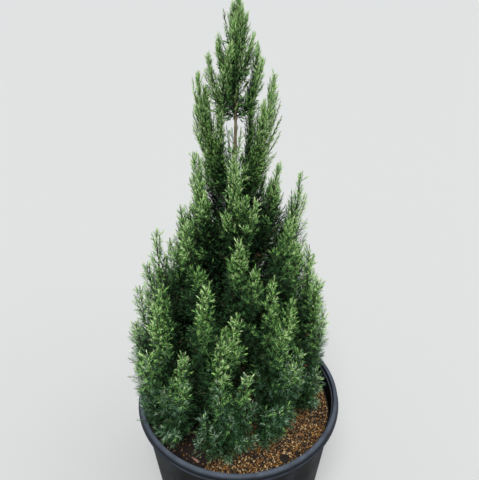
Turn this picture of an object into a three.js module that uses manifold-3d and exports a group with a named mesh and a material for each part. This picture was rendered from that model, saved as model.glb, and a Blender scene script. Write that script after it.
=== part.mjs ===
// A young conical juniper in a black nursery pot, grown as a loose cone of upright plumes.
// Millimetres, +Z up. The origin is the middle of the pot's flat underside, and the front faces -Y.
// Every height in the plant's own tables is measured from the top of the pot's rim.
import * as THREE from 'three';
import { mergeVertices } from 'three/addons/utils/BufferGeometryUtils.js';
import Module from 'manifold-3d';

const wasm = await Module();
wasm.setup();

// Pot and soil
const rimDiameter = 360;
const potHeight = 300;
const footDiameter = 292;
const wall = 3;
const lipOverhang = 7.4;
const lipHeight = 15;
const lipRound = 2.5;
const footRound = 4;
const drainHoles = 4;
const drainRadius = 9;
const drainHeight = 4;
const drainDepth = 36;
const drainSides = 6;
const soilBelowRim = 40;
const soilMound = 4;
const moundShare = 0.45;
const potSides = 28;

// Clear space kept between two solids that meet, and the least overlap that counts, in mm³
const seam = 0.3;
const speck = 1e-6;

// Trunk, from its flat cut on the soil to its tip inside the leader
const trunkFoot = new THREE.Vector2(-6, 0);
const trunkTop = 612;
const trunkRadius = 9.4;
const trunkTipRadius = 1.2;
const trunkTaper = 1.6;
const flareRadius = 6;
const flareHeight = 26;
const trunkLean = 6;
const trunkSway = 2;
const trunkSides = 8;
const trunkStations = [0, 0.02, 0.05, 0.11, 0.2, 0.32, 0.45, 0.58, 0.7, 0.8, 0.9, 1];

// Boughs: how far out and how far up the middle of their bow lies, as shares of the way
const boughSides = 4;
const boughStations = [0, 0.35, 0.7, 1];
const boughBow = { out: 0.62, up: 0.22 };

// The heart of a plume: its share of the girth, and the tufts that ruffle it. Stations are shares
// of the stem's length; a plume has a bare woody foot, and a lobe starts inside its plume.
const heartShare = 0.64;
const heartSides = 6;
const heartStations = [0.16, 0.36, 0.58, 0.8];
const lobeStations = [0.3, 0.65];
const bareFoot = 0.06;
const lobeStart = 0.02;
const heartEnd = 0.99;
const tuftOut = 0.3;
const tuftUp = 0.035;

// A flame's radius along its length, as a share of its girth: rounded below and pointed above.
const flame = (t) => 1.95 * (t + 0.02) ** 0.35 * (1 - t) ** 0.75;

const goldenAngle = 137.508;
const allRound = 180;

// Rings of branches from the soil up. Each point is [distance from the trunk, height above the rim].
// A plume's stem runs from foot past belly to tip, and girth is how far its sprays reach from it.
// A ring with a limb has one bough a plume; the plumes of the others spring straight from the trunk.
// Towards the bearing in fuller a ring reaches further by the share beside it, and less far behind.
const rings = [
  {
    name: 'low', count: 9, bearing: -94, step: 40, seed: 23900, fuller: [-160, 0.03],
    foot: [90, -8], belly: [142, 18], tip: [144, 244], girth: 44, sprays: 6,
    limb: { rise: -27, stagger: 14, radii: [3.7, 2.4] },
    lobes: [
      { from: 0.12, turn: 17, belly: [148, 26], tip: [152, 184], girth: 36, sprays: 2 },
      { from: 0.05, turn: -17, belly: [142, -24], tip: [165, 92], girth: 36, sprays: 2 },
    ],
  },
  {
    name: 'middle', count: 7, bearing: -114, step: 51.4, seed: 17824, fuller: [180, 0.02],
    foot: [60, 58], belly: [120, 104], tip: [112, 330], girth: 42, sprays: 5,
    limb: { rise: 20, stagger: 12, radii: [3.3, 2.2] },
    lobes: [{ from: 0.12, turn: 24, belly: [122, 126], tip: [124, 268], girth: 36, sprays: 2 }],
  },
  {
    name: 'upper', count: 7, bearing: -86, step: 51.4, seed: 3463, fuller: [0, 0.1],
    foot: [36, 146], belly: [82, 198], tip: [88, 386], girth: 38, sprays: 5,
    limb: { rise: 112, stagger: 10, radii: [2.8, 2] },
    lobes: [{ from: 0.12, turn: 25, belly: [88, 212], tip: [96, 322], girth: 32, sprays: 2 }],
  },
  {
    name: 'high', count: 5, bearing: -88, step: 72, seed: 3210, fuller: [0, 0.08],
    foot: [0, 262], belly: [48, 290], tip: [58, 460], girth: 34, sprays: 5,
    lobes: [{ from: 0.25, turn: 34, belly: [52, 312], tip: [63, 400], girth: 27, sprays: 2 }],
  },
  {
    name: 'side', count: 2, bearing: -8, step: 186, seed: 2918, fuller: [0, 0],
    foot: [0, 378], belly: [38, 404], tip: [48, 556], girth: 25, sprays: 5,
    lobes: [
      { from: 0.2, turn: 28, belly: [20, 430], tip: [23, 522], girth: 18, sprays: 2 },
      { from: 0.1, turn: -16, belly: [36, 436], tip: [40, 528], girth: 22, sprays: 2 },
    ],
  },
  {
    name: 'crest', count: 3, bearing: -150, step: 120, seed: 3711, fuller: [0, 0],
    foot: [0, 500], belly: [25, 506], tip: [39, 580], girth: 18, sprays: 5,
    lobes: [{ from: 0.25, turn: 44, belly: [24, 526], tip: [31, 592], girth: 14, sprays: 1 }],
  },
];

// A stem that springs straight from the trunk
const plumeStem = 1.9;

// The leader: an upright column round the trunk's tip, with slim shoots that spiral up it
const leader = {
  seed: 67, foot: 524, tip: 648, girth: 12, stem: 5.2, sprays: 4,
  shoots: 6, shootFoot: 536, shootRise: 10, shootTip: 592, shootTipRise: 7, shootReach: 24,
  shootReachLoss: 3.6, shootBow: 0.7, shootBend: 12, shootGirth: 10, shootSprays: 1, shootBearing: 200,
  shootVary: 10,
};

// How much one plume of a ring differs from the next, as a share of its size or in degrees, and the
// side on which the crown is flatter: its bearing, by what share, and how quickly that fades round it
const vary = { tall: 0.24, wide: 0.1, bearing: 7, lean: 14, lobeTall: 0.16 };
const flat = { bearing: -60, depth: 0.14, power: 3 };
const seedStep = 101;

// How sprays stand on a plume, in degrees and as shares of the plume's girth or the spray's length
const spray = {
  firstAt: 0.03, lastAt: 0.9, lowSlant: 46, highSlant: 22, slantVary: 8, faceTurn: 40, spread: 130,
  shortest: 1.1, longest: 1.9, beyondTip: 8, width: 0.66, thick: 0.09, curl: 0.16, rootDepth: 0.3,
};

// Greens for the plumes, brown bark, black pot and bark-coloured soil
const potMaterial = new THREE.MeshStandardMaterial({ color: 0x24262a, roughness: 0.5, metalness: 0 });
const soilMaterial = new THREE.MeshStandardMaterial({ color: 0x6b4526, roughness: 0.95, metalness: 0 });
const barkMaterial = new THREE.MeshStandardMaterial({ color: 0x7d5a3c, roughness: 0.9, metalness: 0 });
const leafMaterial = new THREE.MeshStandardMaterial({ color: 0x2f5a2c, roughness: 0.8, metalness: 0 });

const { degToRad, lerp, clamp } = THREE.MathUtils;

// A closed mesh as a solid: shared vertices merged, collapsed triangles dropped, faces turned out.
function solidOf(geometry) {
  const bare = geometry.clone();
  for (const name of Object.keys(bare.attributes)) {
    if (name !== 'position') bare.deleteAttribute(name);
  }
  const merged = mergeVertices(bare);
  const index = merged.index.array;
  const triangles = [];
  for (let i = 0; i < index.length; i += 3) {
    const [a, b, c] = [index[i], index[i + 1], index[i + 2]];
    if (a !== b && b !== c && c !== a) triangles.push(a, b, c);
  }
  const solidFrom = (list) => new wasm.Manifold(new wasm.Mesh({
    numProp: 3,
    vertProperties: new Float32Array(merged.attributes.position.array),
    triVerts: new Uint32Array(list),
  }));
  const solid = solidFrom(triangles);
  return solid.volume() >= 0 ? solid : solidFrom(triangles.reverse());
}

function geometryOf(solid) {
  const mesh = solid.getMesh();
  const points = new Float32Array(mesh.numVert * 3);
  for (let i = 0; i < mesh.numVert; i += 1) {
    points.set(mesh.vertProperties.subarray(i * mesh.numProp, i * mesh.numProp + 3), i * 3);
  }
  const geometry = new THREE.BufferGeometry();
  geometry.setAttribute('position', new THREE.BufferAttribute(points, 3));
  geometry.setIndex(new THREE.BufferAttribute(new Uint32Array(mesh.triVerts), 1));
  geometry.computeVertexNormals();
  return geometry;
}

const largestPiece = (solid) => solid.decompose()
  .reduce((best, piece) => (piece.volume() > best.volume() ? piece : best));

// A solid with its owner and its box, so that solids far apart are passed over quickly.
const boxed = (solid, owner) => ({ solid, owner, box: solid.boundingBox() });
const apart = (a, b) => [0, 1, 2].some((i) => a.max[i] < b.min[i] || b.max[i] < a.min[i]);

function touchesAny(solid, owner, others) {
  const box = solid.boundingBox();
  return others.some((other) => other.owner !== owner && !apart(box, other.box)
    && other.solid.intersect(solid).volume() > speck);
}

// A small repeatable source of numbers from 0 to 1, and one spread evenly round zero.
function seeded(seed) {
  let state = seed >>> 0;
  return () => {
    state = (state + 0x6d2b79f5) >>> 0;
    let t = Math.imul(state ^ (state >>> 15), state | 1);
    t ^= t + Math.imul(t ^ (t >>> 7), t | 61);
    return ((t ^ (t >>> 14)) >>> 0) / 4294967296;
  };
}

const around = (random, width) => width * (random() - 0.5);

// The trunk's own line and thickness, by height above the rim
const soilTop = soilMound - soilBelowRim;
const trunkShare = (height) => (height - soilTop) / (trunkTop - soilTop);

function trunkAt(height) {
  const share = trunkShare(height);
  return new THREE.Vector3(
    trunkFoot.x + trunkLean * share ** 4,
    trunkFoot.y + trunkSway * Math.sin(2 * Math.PI * share),
    potHeight + height,
  );
}

function trunkRadiusAt(height) {
  const left = Math.max(0, 1 - trunkShare(height));
  const flare = flareRadius * Math.exp(-(height - soilTop) / flareHeight);
  return trunkRadius * left ** trunkTaper + trunkTipRadius + flare;
}

const bezier = (a, b, c, t) => (1 - t) * (1 - t) * a + 2 * t * (1 - t) * b + t * t * c;

// How far each side of a point its direction is taken from, as a share of the stem
const nearby = 0.004;

// A stem's line: its distance from the trunk and its height follow a curve through foot, belly and
// tip, while its bearing turns on the way. A frame gives a point and three directions there.
class Axis {
  constructor({ foot, belly, tip, bearing, turn = 0 }) {
    Object.assign(this, { foot, belly, tip, bearing, turn });
    this.length = this.point(0).distanceTo(this.point(0.5)) + this.point(0.5).distanceTo(this.point(1));
  }

  polar(t) {
    return {
      reach: bezier(this.foot[0], this.belly[0], this.tip[0], t),
      height: bezier(this.foot[1], this.belly[1], this.tip[1], t),
      bearing: this.bearing + this.turn * t,
    };
  }

  point(t) {
    const { reach, height, bearing } = this.polar(t);
    const angle = degToRad(bearing);
    const out = new THREE.Vector3(Math.cos(angle), Math.sin(angle), 0);
    return trunkAt(height).addScaledVector(out, reach);
  }

  frame(t) {
    const [before, after] = [Math.max(0, t - nearby), Math.min(1, t + nearby)];
    const along = this.point(after).sub(this.point(before)).normalize();
    const angle = degToRad(this.polar(t).bearing);
    const across = new THREE.Vector3(-Math.sin(angle), Math.cos(angle), 0);
    across.addScaledVector(along, -across.dot(along)).normalize();
    return { point: this.point(t), along, across, outward: across.clone().cross(along) };
  }
}

// A round body along an axis: a lathe profile of [share of the length, radius] bent to the line.
// On a ruffled ring every other point is drawn out and up into a tuft, and the rest are drawn in.
function sweep(axis, profile, sides) {
  const lathe = new THREE.LatheGeometry(profile.map(([t, r]) => new THREE.Vector2(r, t)), sides);
  const at = lathe.attributes.position;
  for (let i = 0; i < at.count; i += 1) {
    const station = i % profile.length;
    const side = Math.floor(i / profile.length);
    const ruffled = profile[station][2] ?? 0;
    const tuft = ruffled * ((side + station) % 2 ? 1 : -1);
    const { point, across, outward } = axis.frame(at.getY(i) + Math.max(0, tuft) * tuftUp);
    const bulge = 1 + tuft * tuftOut;
    point.addScaledVector(across, bulge * at.getX(i)).addScaledVector(outward, bulge * at.getZ(i));
    at.setXYZ(i, point.x, point.y, point.z);
  }
  return solidOf(lathe);
}

// A plume's woody foot and its dense heart in one body; a lobe has no foot of its own.
function heartSolid({ axis, girth, stem }, grow) {
  const stations = stem ? heartStations : lobeStations;
  const heart = stations.map((t) => [t, girth * heartShare * flame(t) + grow, 1]);
  const foot = stem ? [[0, 0], [0, stem + grow], [bareFoot, stem + grow]] : [[lobeStart, 0]];
  return sweep(axis, [...foot, ...heart, [heartEnd, 0]], heartSides);
}

// A spray of needles as a toothed blade: a flat outline with a tooth each side and a tip, thickened
// along its middle and bent a little towards the stem. The points are shares of width and length.
const sprayOutline = [[0, 0], [0.5, 0.72], [0.17, 0.56], [0, 1], [-0.17, 0.56], [-0.5, 0.72]];
const sprayMiddle = [0, 0.42];

function sprayGeometry(length, width, thick) {
  const place = ([u, v], w) => [u * width, v * length, w - spray.curl * length * v * v];
  const rim = sprayOutline.map((p) => place(p, 0));
  const front = place(sprayMiddle, thick / 2);
  const back = place(sprayMiddle, -thick / 2);
  const position = [];
  rim.forEach((p, i) => {
    const next = rim[(i + 1) % rim.length];
    position.push(...front, ...p, ...next, ...back, ...next, ...p);
  });
  const geometry = new THREE.BufferGeometry();
  geometry.setAttribute('position', new THREE.Float32BufferAttribute(position, 3));
  return geometry;
}

// A spray in its place on a lobe: its root is sunk in the heart, it leaves the stem at a slant, and
// its face is turned outward. keepOut is the same spray grown by the seam.
function placeSpray(lobe, round, random, spread) {
  const t = spray.firstAt + ((spray.lastAt - spray.firstAt) * (round + 0.5)) / lobe.sprays;
  const slant = degToRad(lerp(spray.lowSlant, spray.highSlant, t) + around(random, spray.slantVary));
  const roll = degToRad(spread) * ((round * goldenAngle / 180 + 2 * random()) % 2 - 1);
  const twist = degToRad(around(random, spray.faceTurn));
  const root = spray.rootDepth * lobe.girth * heartShare * flame(t);
  const reach = lobe.girth * flame(t) - root;
  const longest = Math.min(spray.longest * lobe.girth, (1 - t) * lobe.axis.length + spray.beyondTip);
  const shortest = Math.min(spray.shortest * lobe.girth, longest);
  const length = clamp(reach / Math.sin(slant), shortest, longest);

  const { point, along, across, outward } = lobe.axis.frame(t);
  const away = across.multiplyScalar(Math.sin(roll)).addScaledVector(outward, Math.cos(roll));
  const up = along.multiplyScalar(Math.cos(slant)).addScaledVector(away, Math.sin(slant));
  const face = away.clone().addScaledVector(up, -away.dot(up)).normalize();
  const side = up.clone().cross(face);
  const matrix = new THREE.Matrix4().makeBasis(side, up, face);
  matrix.setPosition(point.addScaledVector(away, root));
  matrix.multiply(new THREE.Matrix4().makeRotationY(twist));
  const grown = (grow) => {
    const size = [length, spray.width * length, spray.thick * length].map((each) => each + 2 * grow);
    return solidOf(sprayGeometry(...size).applyMatrix4(matrix));
  };
  return { solid: grown(0), keepOut: grown(seam) };
}

// Pot: a turned shell with a rolled lip, a flat underside and drain notches round its foot
const rimRadius = rimDiameter / 2;
const footRadius = footDiameter / 2;
const innerRimRadius = rimRadius - lipOverhang - wall;
const innerRadiusAt = (z) => lerp(footRadius - wall, innerRimRadius, z / potHeight);

const turned = (profile) => solidOf(
  new THREE.LatheGeometry(profile.map(([r, z]) => new THREE.Vector2(r, z)), potSides).rotateX(Math.PI / 2),
);

function potSolid() {
  const wallTop = potHeight - lipHeight;
  let solid = turned([
    [0, 0], [footRadius - footRound, 0], [footRadius, footRound],
    [innerRadiusAt(wallTop) + wall, wallTop], [rimRadius - lipRound, wallTop],
    [rimRadius, wallTop + lipRound], [rimRadius, potHeight - lipRound],
    [rimRadius - lipRound, potHeight], [innerRimRadius + lipRound, potHeight],
    [innerRimRadius, potHeight - lipRound], [footRadius - wall, wall], [0, wall],
  ]);
  for (let i = 0; i < drainHoles; i += 1) {
    const hole = new THREE.CylinderGeometry(drainRadius, drainRadius, drainDepth, drainSides);
    hole.rotateZ(Math.PI / 2).translate(footRadius, 0, drainHeight);
    hole.rotateZ((2 * Math.PI * (i + 0.5)) / drainHoles);
    solid = solid.subtract(solidOf(hole));
  }
  return solid;
}

function soilSolid() {
  const base = wall + seam;
  const edge = potHeight - soilBelowRim;
  return turned([
    [0, base], [innerRadiusAt(base) - 2 * seam, base], [innerRadiusAt(edge) - 2 * seam, edge],
    [moundShare * innerRadiusAt(edge), edge + soilMound], [0, edge + soilMound],
  ]);
}

// Trunk: whole from its flat cut on the soil to its tip inside the leader, a little swayed
const trunkAxis = {
  frame(t) {
    const height = lerp(soilTop + seam, trunkTop, t);
    const along = trunkAt(height + 1).sub(trunkAt(height - 1)).normalize();
    if (t === 0) along.set(0, 0, 1);
    const across = new THREE.Vector3(0, 1, 0).addScaledVector(along, -along.y).normalize();
    return { point: trunkAt(height), along, across, outward: across.clone().cross(along) };
  },
};

function trunkSolid(grow) {
  const radiusAt = (t) => trunkRadiusAt(lerp(soilTop + seam, trunkTop, t)) + grow;
  const profile = trunkStations.map((t) => [t, radiusAt(t)]);
  return sweep(trunkAxis, [[0, 0], ...profile, [1, 0]], trunkSides);
}

// Bough: leaves the trunk, swings out and ends at its plume's foot
function boughSolid({ axis, limb }, grow) {
  const [thick, thin] = limb.radii;
  const line = new Axis({
    foot: [0, limb.rise], tip: axis.foot, bearing: axis.bearing,
    belly: [boughBow.out * axis.foot[0], lerp(limb.rise, axis.foot[1], boughBow.up)],
  });
  const profile = boughStations.map((t) => [t, lerp(thick, thin, t) + grow]);
  return sweep(line, [[0, 0], ...profile, [1, 0]], boughSides);
}

// The plumes of a ring, each with its own small seeded differences in height, reach and lean
function plumesOf(ring) {
  return Array.from({ length: ring.count }, (_, i) => {
    const random = seeded(ring.seed + seedStep * i);
    const bearing = ring.bearing + ring.step * i + around(random, vary.bearing);
    const tall = 1 + around(random, vary.tall);
    const towards = (other) => Math.cos(degToRad(bearing - other));
    const fuller = ring.fuller[1] * towards(ring.fuller[0]);
    const flatter = flat.depth * Math.max(0, towards(flat.bearing)) ** flat.power;
    const wide = 1 + around(random, vary.wide) + fuller - flatter;
    const turn = around(random, vary.lean);
    const lift = (height) => ring.foot[1] + (height - ring.foot[1]) * tall;
    const point = ([reach, height]) => [reach * wide, lift(height)];
    const axis = new Axis({
      foot: point(ring.foot), belly: point(ring.belly), tip: point(ring.tip), bearing, turn,
    });
    const lobes = ring.lobes.map((lobe) => {
      const start = axis.polar(lobe.from);
      const tip = point(lobe.tip);
      return {
        girth: lobe.girth * wide,
        sprays: lobe.sprays,
        stem: 0,
        axis: new Axis({
          foot: [start.reach, start.height],
          belly: point(lobe.belly),
          tip: [tip[0], lerp(start.height, tip[1], 1 + around(random, vary.lobeTall))],
          bearing: start.bearing,
          turn: lobe.turn + around(random, vary.lean),
        }),
      };
    });
    const number = String(i + 1).padStart(2, '0');
    const limb = ring.limb && { ...ring.limb, rise: ring.limb.rise + (i % 2) * ring.limb.stagger };
    const stem = limb ? limb.radii[1] : plumeStem;
    return {
      name: `${ring.name}_plume_${number}`, boughName: `${ring.name}_bough_${number}`,
      axis, limb, random, spread: spray.spread,
      lobes: [{ axis, girth: ring.girth * wide, sprays: ring.sprays, stem }, ...lobes],
    };
  });
}

function leaderPlume() {
  const random = seeded(leader.seed);
  const { foot, tip, girth, sprays, stem } = leader;
  const axis = new Axis({ foot: [0, foot], belly: [0, (foot + tip) / 2], tip: [0, tip], bearing: 0 });
  const shoots = Array.from({ length: leader.shoots }, (_, k) => {
    const reach = leader.shootReach - leader.shootReachLoss * k;
    const start = leader.shootFoot + leader.shootRise * k;
    const end = leader.shootTip + leader.shootTipRise * k + around(random, leader.shootVary);
    return {
      girth: leader.shootGirth,
      sprays: leader.shootSprays,
      stem: 0,
      axis: new Axis({
        foot: [0, start],
        belly: [reach * leader.shootBow, start + leader.shootBend],
        tip: [reach, end],
        bearing: leader.shootBearing + goldenAngle * k,
      }),
    };
  });
  const column = { axis, girth, sprays, stem };
  return { name: 'leader_plume', axis, random, spread: allRound, lobes: [column, ...shoots] };
}

const plumes = [...rings.flatMap(plumesOf), leaderPlume()];
const boughPlumes = plumes.filter((plume) => plume.limb);

// Trunk and boughs, with a copy of each grown by the seam that the plumes are kept clear of
const pot = potSolid();
const soil = soilSolid();
const trunk = trunkSolid(0);
const trunkKeepOut = trunkSolid(seam);
const boughs = boughPlumes.map((plume) => largestPiece(boughSolid(plume, 0).subtract(trunkKeepOut)));
const limbs = [boxed(trunkKeepOut), ...boughPlumes.map((plume) => boxed(boughSolid(plume, seam)))];

// Hearts first: each is cut clear of the limbs and of the hearts made before it
const heartOf = (plume, grow) => wasm.Manifold.union(plume.lobes.map((lobe) => heartSolid(lobe, grow)));
const hearts = [];
for (const plume of plumes) {
  let heart = heartOf(plume, 0);
  const box = heart.boundingBox();
  for (const other of [...limbs, ...hearts]) {
    if (!apart(box, other.box)) heart = heart.subtract(other.solid);
  }
  plume.parts = [largestPiece(heart)];
  hearts.push(boxed(heartOf(plume, seam), plume));
}

// Then the sprays, a round at a time, so that neighbouring plumes share the space between them.
// One that would touch another plume, a limb, the pot or the soil is left out.
const taken = [boxed(pot), boxed(soil), ...limbs, ...hearts];
const rounds = Math.max(...plumes.flatMap((plume) => plume.lobes.map((lobe) => lobe.sprays)));
for (let round = 0; round < rounds; round += 1) {
  for (const plume of plumes) {
    for (const lobe of plume.lobes.filter((each) => round < each.sprays)) {
      const { solid, keepOut } = placeSpray(lobe, round, plume.random, plume.spread);
      if (!touchesAny(keepOut, plume, taken)) {
        plume.parts.push(solid);
        taken.push(boxed(keepOut, plume));
      }
    }
  }
}

const tree = new THREE.Group();

function addPart(name, solid, material) {
  const mesh = new THREE.Mesh(geometryOf(solid), material);
  mesh.name = name;
  tree.add(mesh);
}

addPart('pot', pot, potMaterial);
addPart('soil', soil, soilMaterial);
addPart('trunk', trunk, barkMaterial);
boughPlumes.forEach((plume, i) => addPart(plume.boughName, boughs[i], barkMaterial));
for (const plume of plumes) {
  addPart(plume.name, largestPiece(wasm.Manifold.union(plume.parts)), leafMaterial);
}

export default tree;
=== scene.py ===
# A young conical juniper in a black nursery pot: camera and studio, then the pot, its compost and bark
# mulch, the trunk and boughs, and the plumes with their stems, twigs and needles.
import bmesh
import bpy
import numpy as np
from math import atan2, copysign, cos, degrees, exp, hypot, pi, radians, sin, sqrt
from mathutils import Matrix, Vector, noise


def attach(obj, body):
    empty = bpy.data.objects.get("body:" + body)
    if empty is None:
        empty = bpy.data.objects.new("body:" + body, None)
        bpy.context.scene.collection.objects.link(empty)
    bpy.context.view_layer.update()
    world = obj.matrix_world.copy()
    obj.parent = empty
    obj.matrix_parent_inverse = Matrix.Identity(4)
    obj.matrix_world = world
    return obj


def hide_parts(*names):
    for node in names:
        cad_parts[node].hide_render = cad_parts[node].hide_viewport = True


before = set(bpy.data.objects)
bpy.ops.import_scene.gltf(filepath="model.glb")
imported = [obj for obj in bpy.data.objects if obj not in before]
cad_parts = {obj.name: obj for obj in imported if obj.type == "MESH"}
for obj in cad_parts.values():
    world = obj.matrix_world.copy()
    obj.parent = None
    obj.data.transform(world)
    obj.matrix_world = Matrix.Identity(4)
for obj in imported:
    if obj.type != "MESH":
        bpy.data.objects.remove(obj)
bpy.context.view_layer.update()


# Camera and studio
# The camera is about a metre up, a step in front of the pot, and looks down on it, so the pot's rim
# shows as a wide ellipse. The floor is one pale sheet under soft light from above.
view_angle_below_level = 31
focal_length_in_pixels = 503
picture_height_in_pixels = 480
sensor_size = 36
eye_point = (0.0018, -0.64404, 0.99912)
floor_half_width = 30
sky_strength = 0.6

scene = bpy.context.scene
camera_data = bpy.data.cameras.new("camera")
camera_data.sensor_width = sensor_size
camera_data.lens = sensor_size * focal_length_in_pixels / picture_height_in_pixels
camera = bpy.data.objects.new("camera", camera_data)
camera.location = eye_point
camera.rotation_euler = (radians(90 - view_angle_below_level), 0, 0)
scene.collection.objects.link(camera)
scene.camera = camera
scene.view_settings.view_transform = "Standard"


def fill(tree, node, values):
    """Sets each named input of a node to a value, or links it to another node's output."""
    for key, value in values.items():
        if isinstance(value, bpy.types.NodeSocket):
            tree.links.new(value, node.inputs[key])
        else:
            node.inputs[key].default_value = value


def adder(tree):
    """A function that adds a shader node to a tree and fills its inputs."""
    def add(kind, values=None, **settings):
        node = tree.nodes.new("ShaderNode" + kind)
        for key, value in settings.items():
            setattr(node, key, value)
        fill(tree, node, values or {})
        return node

    return add


def new_material(name):
    """A material, a function that adds its nodes, and one that fills its Principled shader."""
    material = bpy.data.materials.new(name)
    material.use_nodes = True
    tree = material.node_tree

    def finish(values):
        fill(tree, tree.nodes["Principled BSDF"], values)

    return material, adder(tree), finish


def colour(code, share=1):
    """A share of the linear colour that a six-figure web code gives."""
    parts = [int(code[i:i + 2], 16) / 255 for i in (0, 2, 4)]
    return (*[share * (((p + 0.055) / 1.055) ** 2.4 if p > 0.04045 else p / 12.92) for p in parts], 1)


def piece_of(name, mesh, material):
    """An object at the origin with a mesh and a material."""
    piece = bpy.data.objects.new(name, mesh)
    scene.collection.objects.link(piece)
    mesh.materials.append(material)
    return piece


def new_piece(name, bm, material):
    """A piece made from a bmesh."""
    mesh = bpy.data.meshes.new(name)
    bm.to_mesh(mesh)
    bm.free()
    return piece_of(name, mesh, material)


floor_paint, _, finish = new_material("floor_paint")
finish({"Base Color": colour("b9b9b7"), "Roughness": 0.9})
bm = bmesh.new()
bmesh.ops.create_grid(bm, x_segments=1, y_segments=1, size=floor_half_width)
floor = new_piece("floor", bm, floor_paint)

world = bpy.data.worlds.new("studio")
world.use_nodes = True
sky = world.node_tree.nodes["Background"]
fill(world.node_tree, sky, {"Color": colour("e4eaf2"), "Strength": sky_strength})
scene.world = world
for name, heading, height, strength, spread in (
    ("soft_key", -97, 60, 3.2, 26),
    ("soft_fill", -20, 50, 0.8, 60),
):
    sun = bpy.data.lights.new(name, "SUN")
    sun.energy = strength
    sun.angle = radians(spread)
    lamp = bpy.data.objects.new(name, sun)
    lamp.rotation_euler = (radians(90 - height), 0, radians(heading + 90))
    scene.collection.objects.link(lamp)


# Pot
# A black nursery pot, injection moulded in thin polyethylene. It tapers to a flat foot with drain
# holes round it, and its mouth is stiffened by a broad flat lip that turns down outside the wall.
MM = 0.001
rim_radius = 180 * MM
pot_height = 300 * MM
foot_radius = 146 * MM
pot_wall = 3 * MM
lip_overhang = 7.4 * MM
lip_height = 15 * MM
lip_gap = 4 * MM
mouth_depth = 12 * MM
wall_levels = (80 * MM, 160 * MM, 240 * MM)
base_ring = 50 * MM
drain_holes = 4
drain_bottom, drain_top = 4 * MM, 13 * MM
foot_band = 6 * MM
pot_segments = 96
sharp_from = 38

inner_rim_radius = rim_radius - lip_overhang - pot_wall

# The outline's round stretches, in steps out and up in millimetres from their corners
foot_turn = [(-4, 0), (-1.2, 1.1), (0, 4)]
lip_root = [(0.6, -1.2), (1.6, 0)]
lip_edge = [(-1.2, 0), (-0.3, 0.6), (0, 1.6), (-0.4, 3.2), (-1.4, 4.4), (-1.6, 6)]
lip_top = [(-1.8, -5.2), (-2.4, -2.8), (-4, -1), (-5.8, -0.3)]
mouth = [(3, 0), (1.2, -0.6), (0.2, -2.2), (0, -4.5), (-0.1, -7.8), (-0.6, -8.4), (-1.6, -8.6),
         (-2.1, -9.2)]


def near(radius, height, steps):
    """Points of an outline, by their steps in millimetres from a radius and height in metres."""
    return [(radius + out * MM, height + up * MM) for out, up in steps]


def inner_radius_at(z):
    """The radius of the pot's inner wall at a height, in metres."""
    share = z / pot_height
    return (1 - share) * (foot_radius - pot_wall) + share * inner_rim_radius


def spun(bm, outline, segments):
    """Turns an outline of (radius, height) in metres round the upright axis into a closed shell."""
    verts = [bm.verts.new((r, 0, z)) for r, z in outline]
    edges = [bm.edges.new(pair) for pair in zip(verts, verts[1:])]
    bmesh.ops.spin(
        bm, geom=verts + edges, cent=(0, 0, 0), axis=(0, 0, 1), angle=2 * pi,
        steps=segments, use_merge=True,
    )
    bmesh.ops.remove_doubles(bm, verts=bm.verts[:], dist=1e-6)
    bmesh.ops.recalc_face_normals(bm, faces=bm.faces[:])


def pot_shell():
    """The pot as one closed shell, with each drain hole cut through its wall and lined."""
    bm = bmesh.new()
    under_lip = pot_height - lip_height
    outer_levels = (drain_top, *wall_levels, under_lip - lip_gap)
    inner_levels = (pot_height - mouth_depth, *wall_levels[::-1], drain_top, drain_bottom)
    spun(bm, [
        (0, 0), (base_ring, 0), *near(foot_radius, 0, foot_turn),
        *[(inner_radius_at(z) + pot_wall, z) for z in outer_levels],
        *near(inner_radius_at(under_lip) + pot_wall, under_lip, lip_root),
        *near(rim_radius, under_lip, lip_edge), *near(rim_radius, pot_height, lip_top),
        *near(inner_rim_radius, pot_height, mouth),
        *[(inner_radius_at(z), z) for z in inner_levels], (base_ring, pot_wall), (0, pot_wall),
    ], pot_segments)
    bm.faces.ensure_lookup_table()

    segment = 2 * pi / pot_segments
    for hole in range(drain_holes):
        bearing = 2 * pi * (hole + 0.5) / drain_holes
        gone = []
        for face in bm.faces:
            middle = face.calc_center_median()
            turn = (atan2(middle.y, middle.x) - bearing + pi) % (2 * pi) - pi
            in_wall = drain_bottom < middle.z < drain_top and middle.xy.length > foot_radius - foot_band
            if abs(turn) < segment and in_wall:
                gone.append(face)
        bmesh.ops.delete(bm, geom=gone, context="FACES_ONLY")
        rims = [edge for edge in bm.edges if edge.is_boundary]
        bmesh.ops.bridge_loops(bm, edges=rims)
    return bm


def blended(add, share, first, second):
    """A colour with a share of a second one mixed in."""
    values = {"Factor": share, "A": first, "B": second}
    return add("Mix", values, data_type="RGBA").outputs["Result"]


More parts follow.
